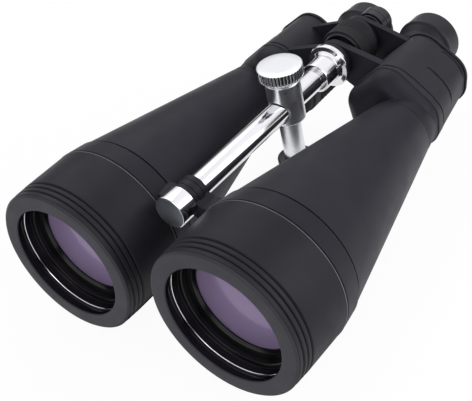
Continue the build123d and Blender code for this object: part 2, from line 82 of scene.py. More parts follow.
# ---- shader nodes -------------------------------------------------------------------
class Shader:
    """A node tree, its texture coordinates and short ways to add nodes."""

    def __init__(self, tree, coords):
        self.tree = tree
        self.coords = self.node("ShaderNodeTexCoord").outputs[coords]

    def feed(self, socket, value):
        if isinstance(value, bpy.types.NodeSocket):
            self.tree.links.new(value, socket)
        elif socket.type == "RGBA":
            socket.default_value = (*value, 1.0)
        else:
            socket.default_value = value

    def node(self, kind, inputs=None, **settings):
        made = self.tree.nodes.new(kind)
        for key, value in settings.items():
            setattr(made, key, value)
        for key, value in (inputs or {}).items():
            self.feed(made.inputs[key], value)
        return made

    def noise(self, scale, detail=3.0, rough=0.5, vector=None):
        inputs = {"Scale": scale, "Detail": detail, "Roughness": rough,
                  "Vector": vector or self.coords}
        return self.node("ShaderNodeTexNoise", inputs).outputs["Fac"]

    def voronoi(self, scale):
        inputs = {"Scale": scale, "Vector": self.coords}
        return self.node("ShaderNodeTexVoronoi", inputs).outputs["Distance"]

    def remap(self, value, to=(0.0, 1.0), source=(0.0, 1.0)):
        inputs = {"From Min": source[0], "From Max": source[1],
                  "To Min": to[0], "To Max": to[1], "Value": value}
        return self.node("ShaderNodeMapRange", inputs).outputs["Result"]

    def spread(self, noise, to=(0.0, 1.0)):
        """Stretch the middle range of a noise over the whole of `to`."""
        return self.remap(noise, to, source=(0.3, 0.7))

    def mix(self, factor, a, b):
        # A colour mix keeps its factor at input 0 and its colours at 6 and 7.
        return self.node("ShaderNodeMix", {0: factor, 6: a, 7: b}, data_type="RGBA").outputs[2]

    def mix_shader(self, factor, a, b):
        return self.node("ShaderNodeMixShader", {0: factor, 1: a, 2: b}).outputs[0]

    def math(self, operation, a, b):
        return self.node("ShaderNodeMath", {0: a, 1: b}, operation=operation).outputs[0]


class Material(Shader):
    def __init__(self, name):
        self.data = bpy.data.materials.new(name)
        self.data.use_nodes = True
        super().__init__(self.data.node_tree, "Object")
        self.principled = self.tree.nodes["Principled BSDF"]
        self.bsdf = self.principled.outputs[0]

    def shaded_under(self, level):
        """Painted shade: a sheen level that fades out on faces turned to the table."""
        normal = self.node("ShaderNodeNewGeometry").outputs["Normal"]
        split = self.node("ShaderNodeSeparateXYZ", {0: normal})
        return self.remap(split.outputs["Z"], to=(0.0, level), source=(-0.55, 0.05))

    def bump(self, height, strength, distance, normal):
        inputs = {"Strength": strength, "Distance": distance, "Height": height, "Normal": normal}
        return self.node("ShaderNodeBump", inputs).outputs["Normal"]

    def edges(self, radius):
        """Edge mask (0 on flats, towards 1 on edges) and the rounded normal."""
        rounded = self.node("ShaderNodeBevel", {"Radius": radius}, samples=4).outputs["Normal"]
        normal = self.node("ShaderNodeNewGeometry").outputs["Normal"]
        dot = self.node("ShaderNodeVectorMath", {0: rounded, 1: normal}, operation="DOT_PRODUCT")
        return self.remap(dot.outputs["Value"], to=(1.0, 0.0), source=(0.72, 0.99)), rounded

    def set(self, **inputs):
        for key, value in inputs.items():
            self.feed(self.principled.inputs[key.replace("_", " ")], value)

    def surface(self, shader):
        self.feed(self.tree.nodes["Material Output"].inputs["Surface"], shader)


def scaled(colour, factor, offset=0.0):
    return tuple(c * factor + offset for c in colour)


# ---- kinds of material --------------------------------------------------------------
def paint(name, dark, light, rough, spec, grain=2600.0, peel_depth=0.00006, edge_wear_and_highlight=0.35):
    """Sprayed enamel on metal: fine orange peel, cloudy sheen, edges a little lighter: partly real
    rubbing, partly a painted highlight.
    """
    m = Material(name)
    base = m.mix(m.spread(m.noise(scale=38.0, detail=4.0)), dark, light)
    edge, rounded = m.edges(radius=0.00045)
    patches = m.remap(m.noise(scale=420.0), to=(0.2, 1.0), source=(0.35, 0.65))
    # edge lightening: partly real rubbing, partly a painted highlight where edges catch the light
    edge_scuff_and_highlight = m.math("MULTIPLY", edge, patches)
    rubbed_and_lit_edge = scaled(light, factor=2.1, offset=0.012)
    base = m.mix(m.math("MULTIPLY", edge_scuff_and_highlight, edge_wear_and_highlight), base, rubbed_and_lit_edge)
    peel = m.noise(scale=grain, detail=2.0)
    m.set(Base_Color=base,
          Roughness=m.math("ADD", m.spread(m.noise(scale=70.0), to=(-0.05, 0.05)), rough),
          Metallic=0.0,
          Specular_IOR_Level=m.shaded_under(spec),
          Normal=m.bump(peel, strength=0.25, distance=peel_depth, normal=rounded))
    return m.data


def rubber(name, dark, light, rough, pebble, depth):
    """Moulded rubber: pebbled skin, paler at the edges."""
    m = Material(name)
    cells = m.voronoi(pebble)
    grain = m.noise(scale=pebble * 0.6)
    height = m.math("ADD", m.math("MULTIPLY", cells, 0.7), m.math("MULTIPLY", grain, 0.5))
    edge, rounded = m.edges(radius=0.0005)
    base = m.mix(m.spread(m.noise(scale=45.0, detail=4.0)), dark, light)
    base = m.mix(m.math("MULTIPLY", edge, 0.3), base, scaled(light, factor=1.7))
    wobble = m.remap(cells, to=(-0.06, 0.06), source=(0.0, 0.8))
    m.set(Base_Color=base,
          Roughness=m.math("ADD", wobble, rough),
          Specular_IOR_Level=m.shaded_under(0.20),
          Normal=m.bump(height, strength=0.35, distance=depth, normal=rounded),
          Sheen_Weight=0.06,
          Sheen_Roughness=0.45)
    return m.data


def metal(name, tint, rough, brush=6000.0, axis=1, strength=0.05, edge_darkening=0.0):
    """Plated or turned metal: hairlines running round the axis (0 x, 1 y, 2 z), faint smudges."""
    m = Material(name)
    stretch = [brush * 0.04] * 3
    stretch[axis] = brush
    mapping = m.node("ShaderNodeMapping", {"Scale": stretch, "Vector": m.coords})
    lines = m.noise(scale=1.0, rough=0.6, vector=mapping.outputs["Vector"])
    smudge = m.noise(scale=55.0, detail=4.0)
    edge, rounded = m.edges(radius=0.00035)
    base = m.mix(m.remap(smudge, source=(0.3, 0.75)), tint, scaled(tint, factor=0.93))
    # edges, inner corners among them, drawn darker
    base = m.mix(m.math("MULTIPLY", edge, edge_darkening), base, scaled(tint, factor=0.45))
    line_rough = m.math("MULTIPLY", m.remap(lines, to=(-1, 1)), 0.035)
    m.set(Base_Color=base,
          Metallic=1.0,
          Roughness=m.math("ADD", line_rough, m.spread(smudge, to=(rough * 0.8, rough * 1.3))),
          Normal=m.bump(lines, strength=strength, distance=0.00006, normal=rounded))
    return m.data


def plastic(name, dark, light, rough, grain):
    """Matt plastic with a fine grain and paler edges."""
    m = Material(name)
    edge, rounded = m.edges(radius=0.0004)
    base = m.mix(m.spread(m.noise(scale=grain * 0.1)), dark, light)
    base = m.mix(m.math("MULTIPLY", edge, 0.3), base, scaled(light, factor=1.6))
    skin = m.noise(scale=grain, detail=2.0)
    m.set(Base_Color=base,
          Roughness=m.math("ADD", m.spread(m.noise(scale=90.0), to=(-0.05, 0.05)), rough),
          Normal=m.bump(skin, strength=0.2, distance=0.00004, normal=rounded))
    return m.data


def coated(name, tint, weight, body, painted_reflection_tint=None, painted_reflection_weight=0.0, soft=0.05):
    """Coated glass: clear body, tinted reflection with wipe marks, and maybe a coloured diffuse
    layer that is a painted reflection.
    """
    m = Material(name)
    facing = m.node("ShaderNodeLayerWeight", {"Blend": 0.35}).outputs["Facing"]
    wipe = m.noise(scale=60.0, detail=4.0)
    gloss = m.node("ShaderNodeBsdfGlossy", {
        "Color": m.mix(m.spread(wipe), tint, scaled(tint, factor=0.97)),
        "Roughness": m.spread(wipe, to=(soft * 0.96, soft * 1.04))})
    m.set(Base_Color=body, Roughness=0.03, Transmission_Weight=1.0, IOR=1.52,
          Specular_IOR_Level=0.2)
    base = m.bsdf
    if painted_reflection_tint:
        # painted reflection: a diffuse violet layer stands in for the coating's reflection
        cloud = m.remap(m.noise(scale=14.0, detail=1.0), source=(0.2, 0.8))
        colour = m.mix(cloud, painted_reflection_tint, scaled(painted_reflection_tint, factor=0.88))
        glow = m.node("ShaderNodeBsdfDiffuse", {"Color": colour})
        base = m.mix_shader(painted_reflection_weight, base, glow.outputs[0])
    share = m.math("ADD", m.math("MULTIPLY", facing, 0.15), weight)
    m.surface(m.mix_shader(share, base, gloss.outputs[0]))
    return m.data


# ---- materials ----------------------------------------------------------------------
CHARCOAL = paint("charcoal_enamel", dark=(0.0185, 0.0175, 0.0250), light=(0.0240, 0.0228, 0.0320),
                 rough=0.46, spec=0.16)
BARREL = paint("charcoal_enamel_barrel", dark=(0.0215, 0.0203, 0.0290),
               light=(0.0270, 0.0256, 0.0360), rough=0.45, spec=0.18, grain=2200.0, edge_wear_and_highlight=0.25)
HOOD = paint("charcoal_rim_enamel", dark=(0.0190, 0.0182, 0.0245), light=(0.0240, 0.0230, 0.0305),
             rough=0.48, spec=0.16, edge_wear_and_highlight=0.5)
FACE = paint("rim_face_enamel", dark=(0.046, 0.045, 0.055), light=(0.055, 0.054, 0.066),
             rough=0.50, spec=0.18, edge_wear_and_highlight=0.5)
# painted highlight: a pale enamel on the hood's bead step and the focus wheel's front rim, where
# the edge catches the light
PAINTED_HIGHLIGHT = paint("painted_highlight_enamel", dark=(0.16, 0.16, 0.17), light=(0.24, 0.24, 0.25),
               rough=0.30, spec=0.6, peel_depth=0.00003, edge_wear_and_highlight=0.3)
GROOVE = paint("groove_shadow_enamel", dark=(0.003, 0.003, 0.0035), light=(0.005, 0.005, 0.0055),
               rough=0.55, spec=0.1, peel_depth=0.00003, edge_wear_and_highlight=0.1)
LIP = metal("bare_lip", tint=(0.80, 0.80, 0.82), rough=0.10, strength=0.02)
BORE = paint("black_bore_enamel", dark=(0.0030, 0.0030, 0.0033), light=(0.005, 0.005, 0.0055),
             rough=0.22, spec=0.32, grain=1800.0, peel_depth=0.00003, edge_wear_and_highlight=0.2)
ARMOUR = rubber("armour_rubber_skin", dark=(0.0205, 0.0195, 0.0270),
                light=(0.0270, 0.0256, 0.0350), rough=0.46, pebble=2300.0, depth=0.00008)
CUP = rubber("eyecup_rubber_skin", dark=(0.0200, 0.0190, 0.0260), light=(0.0270, 0.0256, 0.0340),
             rough=0.40, pebble=3000.0, depth=0.00005)
# painted shade: a near-black rubber for the armour's grooves and the focus knurl's valleys
CREASE_SHADE = rubber("painted_crease_shade", dark=(0.005, 0.0048, 0.006), light=(0.008, 0.0076, 0.0095),
                rough=0.55, pebble=2300.0, depth=0.00004)
GRIP = rubber("grip_rubber_skin", dark=(0.0120, 0.0115, 0.0155), light=(0.0200, 0.0190, 0.0260),
              rough=0.42, pebble=3500.0, depth=0.00004)
BLACK = paint("black_anodising", dark=(0.0130, 0.0125, 0.0165), light=(0.0200, 0.0190, 0.0250),
              rough=0.34, spec=0.4, grain=3200.0, peel_depth=0.00003, edge_wear_and_highlight=0.8)
CHROME = metal("chrome_plating", tint=(0.80, 0.795, 0.815), rough=0.085, brush=9000.0,
               strength=0.03, edge_darkening=0.5)
CHROME_Z = metal("chrome_plating_post", tint=(0.84, 0.845, 0.865), rough=0.16, brush=9000.0,
                 axis=2, strength=0.03, edge_darkening=0.5)
CHROME_POST = metal("satin_chrome_post", tint=(0.78, 0.79, 0.83), rough=0.30, brush=7000.0,
                    axis=2, strength=0.04, edge_darkening=0.4)
# painted shade: a dark metal for the knob's flute valleys
VALLEY_SHADE = metal("painted_valley_shade", tint=(0.10, 0.10, 0.11), rough=0.35, axis=2, strength=0.04)
CAP_FACE = metal("cap_face_satin", tint=(0.30, 0.32, 0.36), rough=0.42, brush=4000.0)
STEEL = metal("ground_steel", tint=(0.56, 0.56, 0.57), rough=0.28, strength=0.12, edge_darkening=0.4)
DARK_STEEL = metal("black_oxide_steel", tint=(0.10, 0.10, 0.105), rough=0.32, strength=0.12,
                   edge_darkening=0.2)
BRASS = metal("turned_brass", tint=(0.78, 0.60, 0.30), rough=0.22, brush=7000.0, strength=0.1,
              edge_darkening=0.4)
ACETAL = plastic("acetal_natural", dark=(0.50, 0.49, 0.45), light=(0.60, 0.59, 0.55),
                 rough=0.45, grain=2600.0)
LENS = coated("violet_coated_glass", tint=(0.42, 0.30, 0.52), weight=0.10,
              body=(0.93, 0.93, 0.97), painted_reflection_tint=(0.50, 0.38, 0.64), painted_reflection_weight=0.50, soft=0.30)
LENS_IN = coated("violet_coated_inner_glass", tint=(0.42, 0.34, 0.60), weight=0.14,
                 body=(0.95, 0.95, 0.98))
PRISM = coated("prism_glass", tint=(0.75, 0.85, 0.90), weight=0.06, body=(0.93, 0.97, 0.95))

# Materials of the CAD pieces; every piece not listed is black anodised.
PAIRED_PIECES = (
    (CHARCOAL, "prism_housing rear_cover front_bridge"), (BARREL, "barrel"),
    (HOOD, "objective_hood"), (ARMOUR, "armour"), (CUP, "eyecup"), (DARK_STEEL, "cover_screws"),
    (BORE, "lens_cell retaining_ring"), (LENS, "crown_lens eye_lens"),
    (LENS_IN, "flint_lens field_lens"), (PRISM, "front_prism rear_prism"),
    (STEEL, "prism_straps"))
SINGLE_PIECES = (
    (CHROME, "rod rod_front_cap rod_rear_socket"), (CHROME_POST, "post_body"),
    (CHROME_Z, "post_foot lock_knob"), (STEEL, "lock_stud focus_spindle spindle_pin"),
    (DARK_STEEL, "hinge_axle axle_nut hinge_washers grub_screws"), (BRASS, "socket_insert"),
    (ACETAL, "rod_liner clamp_pad"), (GRIP, "focus_grip"))


def dress_cad_pieces():
    material_of = {name: m for m, names in SINGLE_PIECES for name in names.split()}
    for side, _ in SIDES:
        for m, names in PAIRED_PIECES:
            material_of.update({f"{side}_{name}": m for name in names.split()})
    for name, ob in NODES.items():
        ob.data.materials.clear()
        ob.data.materials.append(material_of.get(name, BLACK))


dress_cad_pieces()


# ---- mesh helpers -------------------------------------------------------------------
def finish_mesh(name, bm, materials, body, replaced, smooth):
    bmesh.ops.remove_doubles(bm, verts=bm.verts, dist=1e-7)
    bmesh.ops.recalc_face_normals(bm, faces=bm.faces)
    mesh = bpy.data.meshes.new(name)
    bm.to_mesh(mesh)
    bm.free()
    for m in materials:
        mesh.materials.append(m)
    ob = bpy.data.objects.new(name, mesh)
    SC.collection.objects.link(ob)
    mesh.shade_smooth()
    with bpy.context.temp_override(object=ob, active_object=ob, selected_objects=[ob],
                                   selected_editable_objects=[ob]):
        bpy.ops.object.shade_smooth_by_angle(angle=math.radians(smooth))
    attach(ob, body)
    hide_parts(replaced)


def soften(points, size, steps=4):
    """Round the corners of a closed outline of (r, along[, corner]); size is the default corner."""
    out = []
    for i, point in enumerate(points):
        want = point[2] if len(point) > 2 else size
        corner = Vector(point[:2])
        back = Vector(points[i - 1][:2]) - corner
        ahead = Vector(points[(i + 1) % len(points)][:2]) - corner
        sharp = want <= 0 or back.length < 1e-6 or ahead.length < 1e-6 or point[0] < 1e-6
        if sharp or back.angle(ahead) > math.radians(172):
            out.append((corner.x, corner.y))
            continue
        reach = want / math.tan(back.angle(ahead) / 2)
        reach = min(reach, back.length * 0.45, ahead.length * 0.45)
        start = corner + back.normalized() * reach
        end = corner + ahead.normalized() * reach
        for k in range(steps + 1):
            t = k / steps
            q = start * (1 - t) ** 2 + corner * 2 * t * (1 - t) + end * t * t
            out.append((q.x, q.y))
    return out


LEAN_FROM, LEAN_TO = 65.6, 203.0  # y range over which a leaning axis moves sideways


def lathe(name, outline, materials, body, replaced, slot, centre=(0, 0), segments=160,
          upright=False, lean=(0, 0), smooth=32.0,
          pick=lambda r, along, angle: 0, ripple=lambda r, along, angle: 0.0):
    """Turn a closed outline of (r, along) about the Y line through centre, or about the post.

    pick gives a face's material index, ripple is added to the radius, and lean is the
    (x, z) shift of the axis at LEAN_TO.
    """
    def point(r, along, angle):
        if upright:
            return place(r * math.cos(angle), POST_Y + r * math.sin(angle), along)
        t = clamp((along - LEAN_FROM) / (LEAN_TO - LEAN_FROM))
        x, z = centre[0] + lean[0] * t, centre[1] + lean[1] * t
        return place(x + r * math.cos(angle), along, z + r * math.sin(angle))

    bm = bmesh.new()
    rings = []
    for r, along in outline:
        if r < 1e-6:
            rings.append([bm.verts.new(point(0.0, along, 0.0))])
            continue
        angles = [math.tau * k / segments for k in range(segments)]
        rings.append([bm.verts.new(point(r + ripple(r, along, a), along, a)) for a in angles])
    for i, a in enumerate(rings):
        following = (i + 1) % len(rings)
        b = rings[following]
        if len(a) == 1 and len(b) == 1:
            continue
        mid_r = (outline[i][0] + outline[following][0]) / 2
        mid_along = (outline[i][1] + outline[following][1]) / 2
        for k in range(segments):
            j = (k + 1) % segments
            if len(a) == 1:
                face = bm.faces.new((a[0], b[k], b[j]))
            elif len(b) == 1:
                face = bm.faces.new((a[k], a[j], b[0]))
            else:
                face = bm.faces.new((a[k], a[j], b[j], b[k]))
            face.material_index = pick(mid_r, mid_along, math.tau * (k + 0.5) / segments)
    finish_mesh(name, bm, materials, body, replaced, smooth)


# ---- objective ends -----------------------------------------------------------------
# Outlines: radius, y, corner radius (the default where left out).
HOOD_OUTLINE = [
    (41.9, 0.0, 0.3), (51.6, 0.0, 1.1), (53.3, 1.5, 1.0), (53.3, 4.3, 0.25),
    (52.75, 4.75, 0.2), (52.75, 5.35, 0.2), (53.6, 5.8, 0.3), (53.6, 8.2, 0.3),
    (52.8, 8.7, 0.2), (52.8, 9.4, 0.2), (53.7, 9.9, 0.3), (53.7, 12.2, 0.3),
    (52.9, 12.7, 0.2), (52.9, 13.5, 0.2), (53.9, 14.1, 0.4), (53.9, 48.95, 0.05),
    (54.1, 49.15, 0.05), (54.1, 49.6, 0.2), (53.4, 49.9, 0.2), (49.6, 49.9, 0),
    (49.6, 27.0, 0), (45.2, 27.0, 0), (45.2, 3.2, 0), (41.35, 3.2, 0.2), (41.35, 0.6, 0.4)]
# The barrel's bore is straight up to BORE_WIDE, then narrows to BORE_NARROW: (r, y).
BORE_WIDE, BORE_NARROW = (46.8, 70.0), (21.6, 201.0)
BARREL_OUTLINE = [
    (BORE_WIDE[0], 30.2, 0), (49.5, 30.2, 0), (49.5, 65.7, 0), (50.2, 65.7, 0), (51.1, 66.6, 0.1),
    (37.62, 134.3, 0), (23.9, LEAN_TO, 0.2), (20.6, LEAN_TO, 0), (20.6, 210.5, 0),
    (18.6, 210.5, 0), (18.6, 204.0, 0), (*BORE_NARROW, 0), (*BORE_WIDE, 0)]
BARREL_LEAN = (-1.0, 3.0)  # x (left side), z
CELL_OUTLINE = [
    (43.5, 8.4), (44.9, 8.4), (44.9, 27.05), (49.4, 27.05), (49.4, 30.1), (46.7, 30.1),
    (46.7, 38.0), (37.5, 38.0), (37.5, 34.6), (40.5, 34.6), (40.5, 15.0),
    (41.2, 14.6, 0.1), (43.2, 13.9, 0.2), (43.2, 8.8, 0.15)]
GLASS_R = 40.35
CROWN_FRONT, CROWN_BACK = 19.0, 31.6   # y of the faces on the axis
FLINT_FRONT, FLINT_BACK = 31.7, 34.4
FRONT_CURVE, INNER_CURVE = 180.0, 150.0  # radii of the front face and of the two inner faces
RETAINER_R = 35.2                      # inner radius


def hood_material(r, y, angle):
    if r < 46 and y > 0.9:
        return 1  # bore
    if y < 1.0:
        return 2  # front face
    if 52 < r < 53.0 and 4.6 < y < 13.8:
        return 3  # floors of the three grooves, in painted groove shadow
    if r > 53 and 48.9 < y < 49.17:
        return 4  # step up to the rear bead, in a painted highlight
    return 0


def barrel_material(r, y, angle):
    if r > 49.6 and 65.5 < y < 66.5:
        return 2  # shoulder, in painted groove shadow
    taper = (BORE_WIDE[0] - BORE_NARROW[0]) / (BORE_NARROW[1] - BORE_WIDE[1])
    bore_limit = BORE_WIDE[0] - (y - BORE_WIDE[1]) * taper + 0.8
    return 1 if (r < 48 and r < bore_limit and y < 204) else 0


def sag(curve, r):
    return curve - math.sqrt(curve * curve - r * r)


def glass_face(y, curve):
    """Points of a glass face from the axis out; a negative curve bends the rim forwards."""
    radii = [GLASS_R * k / 24 for k in range(25)]
    return [(r, y + math.copysign(sag(abs(curve), r), curve)) for r in radii]


def objective_end(side, sign):
    common = {"body": side + "_half", "centre": (OBJECTIVE[0] * sign, OBJECTIVE[1])}
    lathe(side + "_hood_shell", soften(HOOD_OUTLINE, 0.3), [HOOD, BORE, FACE, GROOVE, PAINTED_HIGHLIGHT],
          replaced=side + "_objective_hood", slot="charcoal_paint", segments=224,
          pick=hood_material, **common)
    lathe(side + "_barrel_cone", soften(BARREL_OUTLINE, 0.3), [BARREL, BORE, GROOVE],
          replaced=side + "_barrel", slot="charcoal_paint", segments=224,
          lean=(BARREL_LEAN[0] * sign, BARREL_LEAN[1]), pick=barrel_material, **common)
    # the cell has a bright front lip
    lathe(side + "_cell_body", soften(CELL_OUTLINE, 0.2), [BORE, LIP],
          replaced=side + "_lens_cell", slot="black_anodised", segments=224,
          pick=lambda r, y, angle: 1 if (y < 8.75 and r < 44.2) else 0, **common)
    seat = CROWN_FRONT + sag(FRONT_CURVE, RETAINER_R) - 0.05
    retainer = [(RETAINER_R, seat), (RETAINER_R, seat - 1.0), (36.5, seat - 3.1),
                (GLASS_R, seat - 3.1), (GLASS_R, seat)]
    lathe(side + "_retainer", soften(retainer, 0.2), [BORE],
          replaced=side + "_retaining_ring", slot="black_anodised", segments=224, **common)
    crown = glass_face(CROWN_FRONT, FRONT_CURVE) + glass_face(CROWN_BACK, -INNER_CURVE)[::-1]
    flint = glass_face(FLINT_FRONT, -INNER_CURVE) + [(GLASS_R, FLINT_BACK), (0.0, FLINT_BACK)]
    for part, outline, glass in (("crown", crown, LENS), ("flint", flint, LENS_IN)):
        lathe(f"{side}_{part}_glass", outline, [glass], replaced=f"{side}_{part}_lens",
              slot="coated_glass", segments=128, **common)


for side, sign in SIDES:
    objective_end(side, sign)

# ---- rear armour --------------------------------------------------------------------
# The left housing's section is the hull of five circles: x, z, radius.
HULL_FRONT = ((64.0, -32.3, 20.0), (64.0, -26.5, 20.3), (48.0, -11.0, 18.6),
              (31.0, -21.5, 15.0), (31.0, -33.5, 13.0))
HULL_REAR = ((60.5, -28.0, 17.4), (62.8, -21.3, 16.0), (48.0, -11.0, 16.8),
             (28.0, -25.0, 14.8), (30.5, -32.5, 12.8))
ARC_STEPS = 30
LINE_STEPS = (8, 44, 24, 12, 36)    # on the flat after each circle
ARMOUR_Y0, ARMOUR_Y1 = 222.0, 270.5
HULL_REAR_Y = 272.0                 # where HULL_REAR is measured
SKIN = 2.0                          # thickness
END_ROUND = 0.9                     # edge radius at both ends
MAX_SUNK = 1.85
# Style lines: y, lower and upper limit in degrees round the section, forward curl.
STYLE_LINES = ((245.2, -6.0, 45.0, 3.4), (268.0, 6.0, 46.0, 3.0))
RIBS_Y0, RIBS_Y1, RIB_PITCH = 229.0, 266.0, 4.0
RIBS_UNDER, RIBS_INNER = -66, 168   # facing angles beyond which there are ribs


def hull(y):
    """Points and outward normals round the left housing at y: (x, z, nx, nz)."""
    t = max(0.0, (y - ARMOUR_Y0) / (HULL_REAR_Y - ARMOUR_Y0))
    circles = [[p + (q - p) * t for p, q in zip(*pair)] for pair in zip(HULL_FRONT, HULL_REAR)]
    flats = []  # normals of the tangent lines from each circle to the next
    for i, (ax, az, ar) in enumerate(circles):
        bx, bz, br = circles[(i + 1) % len(circles)]
        length = math.hypot(bx - ax, bz - az)
        ux, uz = (bx - ax) / length, (bz - az) / length
        slope = (ar - br) / length
        rest = math.sqrt(1 - slope * slope)
        flats.append((ux * slope + uz * rest, uz * slope - ux * rest))
    points = []
    for i, (x, z, r) in enumerate(circles):
        start = math.atan2(flats[i - 1][1], flats[i - 1][0])
        nx, nz = flats[i]
        end = math.atan2(nz, nx)
        while end < start:
            end += math.tau
        for k in range(ARC_STEPS):
            angle = start + (end - start) * k / ARC_STEPS
            c, s = math.cos(angle), math.sin(angle)
            points.append((x + r * c, z + r * s, c, s))
        bx, bz, br = circles[(i + 1) % len(circles)]
        x0, z0 = x + r * nx, z + r * nz
        x1, z1 = bx + br * nx, bz + br * nz
        for k in range(LINE_STEPS[i]):
            f = k / LINE_STEPS[i]
            points.append((x0 + (x1 - x0) * f, z0 + (z1 - z0) * f, nx, nz))
    return points


def bell(distance, half_width):
    """Smooth 1 to 0 over a half width."""
    d = abs(distance) / half_width
    return 0.0 if d >= 1 else (1 - d * d) ** 2


def style_line(around, y, line):
    """A groove with a low ridge behind it, over the outer shoulder; its top curls forward."""
    line_y, bottom, top, curl = line
    if not bottom - 10 < around < top + 7:
        return 0.0
    t = max(0.0, (around - top) / 7.0)
    fade = clamp((around - bottom + 10) / 14.0) * clamp((1.0 - t) * 2.5)
    at = line_y + 0.9 * math.sin(clamp((around - 10.0) / 36.0) * math.pi / 2) - curl * t * t
    return (0.95 * bell(y - at, 0.85) - 0.35 * bell(y - at - 1.3, 0.9)) * fade


def ribs(facing, y):
    """Cross ribs on the underside and the inner flank, faded in at their borders."""
    if not RIBS_Y0 < y < RIBS_Y1 or RIBS_UNDER <= facing <= RIBS_INNER:
        return 0.0
    side_fade = clamp((RIBS_UNDER - facing) / 8.0 if facing < 0 else (facing - RIBS_INNER) / 6.0)
    wave = 0.85 - 0.85 * math.cos((y - RIBS_Y0) / RIB_PITCH * math.tau)
    return wave * side_fade * min(1.0, y - RIBS_Y0, RIBS_Y1 - y)


def armour_relief(x, z, nx, nz, y):
    """How far the skin is sunk below the housing's outline, in mm, and its mark for the painted
    crease shade, 0 to 1.
    """
    sunk = 0.0
    facing = math.degrees(math.atan2(nz, nx))              # 0 outwards, 90 up, -90 down
    around = math.degrees(math.atan2(z + 20.0, x - 50.0))  # place round the section's middle
    end = min(y - ARMOUR_Y0, ARMOUR_Y1 - y)
    if end < END_ROUND:
        sunk += END_ROUND - math.sqrt(max(0.0, END_ROUND ** 2 - (END_ROUND - end) ** 2))
    outer = 1.0
    if not -60 < facing < 140:
        outer = max(0.0, 1 - min(abs(facing + 60), abs(facing - 140)) / 6.0)
    # groove behind the front lip; it runs further back towards the underside
    groove_y = (227.6 + 0.11 * max(0.0, 10.0 - max(around, -40.0))
                - 0.045 * max(0.0, min(around, 90.0) - 50.0))
    sunk += 1.15 * bell(y - groove_y, 0.95) * outer
    # the skin behind the groove lies a little lower than the front lip
    sunk += 0.30 * outer * clamp((y - groove_y - 0.6) / 0.8) * clamp((268.9 - y) / 0.9)
    for line in STYLE_LINES:
        sunk += style_line(around, y, line)
    # faces sunk into grooves get the painted crease shade
    mark = min(1.0, sunk) if (ARMOUR_Y0 + 1.2 < y < 269.4) else 0.0
    return min(sunk + ribs(facing, y), MAX_SUNK), mark


def armour_stations():
    """Section places: closer at the rounded ends and where the grooves are."""
    ys = [ARMOUR_Y0 + d for d in (0.0, 0.1, 0.25, 0.45, 0.7, 1.0, 2.0, 3.5)]
    y = ARMOUR_Y0 + 3.75
    while y < ARMOUR_Y1 - 1.0:
        ys.append(y)
        y += 0.25 if (y < 233.5 or 240.5 < y < 248.5 or 263.0 < y) else 0.4
    return ys + [ARMOUR_Y1 - d for d in (0.9, 0.7, 0.45, 0.25, 0.1, 0.0)]


def armour(side, sign):
    bm = bmesh.new()

    def vertex(x, z, nx, nz, y, depth):
        return bm.verts.new(place(sign * (x - nx * depth), y, z - nz * depth))

    loops, marks = [], []
    for y in armour_stations():
        section = hull(y)
        relief = [armour_relief(*p, y) for p in section]
        loops.append([vertex(*p, y, depth) for p, (depth, _) in zip(section, relief)])
        marks.append([mark for _, mark in relief])
    for y in (ARMOUR_Y1, (ARMOUR_Y0 + ARMOUR_Y1) / 2, ARMOUR_Y0):
        loops.append([vertex(*p, y, SKIN) for p in hull(y)])
    for i, a in enumerate(loops):
        b = loops[(i + 1) % len(loops)]
        for k in range(len(a)):
            j = (k + 1) % len(a)
            face = bm.faces.new((a[k], a[j], b[j], b[k]))
            if i + 1 < len(marks):
                corners = marks[i][k] + marks[i][j] + marks[i + 1][k] + marks[i + 1][j]
                # index 1 is the painted crease shade
                face.material_index = 1 if corners > 2.9 else 0
    finish_mesh(side + "_armour_skin", bm, [ARMOUR, CREASE_SHADE], side + "_half", side + "_armour",
                smooth=60.0)


for side, sign in SIDES:
    armour(side, sign)

# ---- rod, its front cap and rear socket ---------------------------------------------
ROD_R, ROD_Y0, ROD_Y1 = 8.0, 46.0, 213.0
ROD_FIT = ROD_R + 0.02  # bore of the parts on the rod
ROD_OUTLINE = [(0.0, ROD_Y0), (ROD_R, ROD_Y0, 0.4), (ROD_R, ROD_Y1, 0.4), (0.0, ROD_Y1)]
ROD_CAP_OUTLINE = [(0.0, 41.0), (11.35, 41.0, 0.9), (11.35, 54.0, 0.4), (ROD_FIT, 54.0, 0),
                   (ROD_FIT, ROD_Y0 - 0.1, 0), (0.0, ROD_Y0 - 0.1)]
SOCKET_OUTLINE = [
    (ROD_FIT, 203.0, 0), (10.9, 203.0, 0.7), (10.9, 217.6, 0.8), (12.6, 219.3, 0.5),
    (15.6, 219.7, 0.4), (16.2, 220.6, 0.4), (16.2, 222.9, 0.5), (15.4, 223.6, 0.2),
    (6.02, 223.6, 0), (6.02, ROD_Y1 + 0.1, 0), (ROD_FIT, ROD_Y1 + 0.1, 0)]
rod_parts = {"body": "rod", "slot": "chrome_plate", "segments": 128}
lathe("rod_bar", soften(ROD_OUTLINE, 0.3), [CHROME], replaced="rod", **rod_parts)
lathe("rod_end_cap", soften(ROD_CAP_OUTLINE, 0.3, 6), [CHROME, CAP_FACE],
      replaced="rod_front_cap", pick=lambda r, y, angle: 1 if (y < 41.4 and r < 10.6) else 0,
      **rod_parts)
lathe("rod_socket_sleeve", soften(SOCKET_OUTLINE, 0.3, 5), [CHROME],
      replaced="rod_rear_socket", **rod_parts)

# ---- post foot and knob, turned about the post: radius, z[, corner radius] ----------
FOOT_OUTLINE = [(4.5, -HINGE_Z, 0.2), (13.0, -HINGE_Z, 1.0), (13.0, -42.0, 1.2),
                (7.66, -42.0, 0), (7.66, -47.6, 0), (4.5, -47.6, 0)]
lathe("post_foot_collar", soften(FOOT_OUTLINE, 0.3, 6), [BLACK], body="tripod_post",
      replaced="post_foot", slot="black_anodised", segments=128, upright=True)

